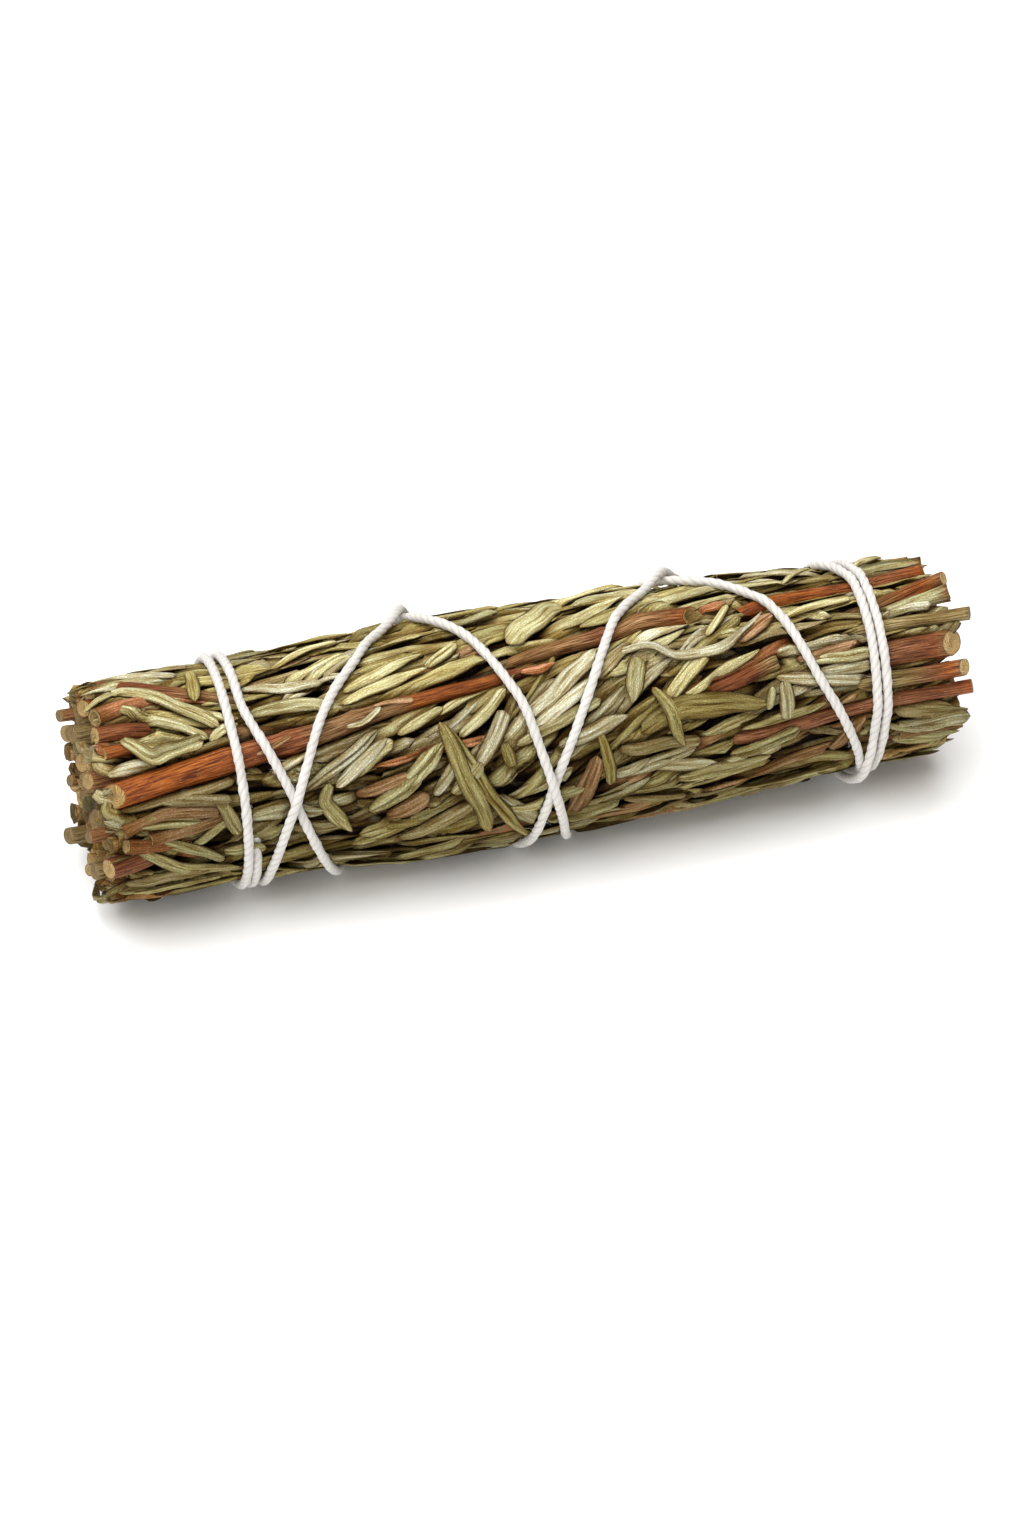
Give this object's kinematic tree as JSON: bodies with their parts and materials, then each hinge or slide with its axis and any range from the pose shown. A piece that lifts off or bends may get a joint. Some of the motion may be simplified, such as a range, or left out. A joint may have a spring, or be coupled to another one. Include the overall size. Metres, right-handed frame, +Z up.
{
  "type": "sage smudge stick",
  "caption": "Bundle of dried sage sprigs, leaves and cut stems lying side by side, tied with crossed white cotton string.",
  "frame": {"origin": "middle of the bundle's footprint on the surface that it lies on", "axes": "+X along the bundle from the end with the thick stems to the thinner end, +Z up, -Y the side that faces the camera"},
  "size_m": [0.1522, 0.0435, 0.0399],
  "materials": {
    "leaf": "dry grey-green sage leaf, matt, finely veined",
    "grey_leaf": "dry grey sage leaf, matt and downy",
    "inner_leaf": "packed dry leaf in the shade of the bundle, matt",
    "stem": "red-brown bark, dry, slightly glossy, pale wood at the cuts",
    "grey_stem": "grey-green twig bark, matt",
    "string": "off-white twisted cotton, soft and slightly fuzzy"
  },
  "bodies": {
    "root": {"sprig_01_leaves": "leaf", "sprig_02_leaves": "grey_leaf", "sprig_03_leaves": "leaf", "sprig_04_leaves": "leaf", "sprig_05_leaves": "grey_leaf", "sprig_06_leaves": "leaf", "sprig_07_leaves": "leaf", "sprig_08_leaves": "grey_leaf", "sprig_09_leaves": "leaf", "sprig_01_stem": "stem", "sprig_02_stem": "stem", "sprig_03_stem": "stem", "sprig_04_stem": "stem", "sprig_05_stem": "stem", "sprig_06_stem": "stem", "sprig_07_stem": "stem", "sprig_08_stem": "stem", "sprig_09_stem": "stem", "branch_01": "stem", "branch_02": "stem", "branch_03": "grey_stem", "branch_04": "stem", "branch_05": "stem", "branch_06": "grey_stem", "branch_07": "stem", "branch_08": "stem", "branch_09": "stem", "branch_10": "stem", "branch_11": "grey_stem", "branch_12": "stem", "branch_13": "stem", "branch_14": "stem", "branch_15": "stem", "inner_leaves": "inner_leaf", "inner_stem_01": "stem", "inner_stem_02": "stem", "inner_stem_03": "stem", "inner_stem_04": "stem", "inner_stem_05": "stem", "inner_stem_06": "stem", "inner_stem_07": "stem", "string": "string"}
  },
  "joints": []
}
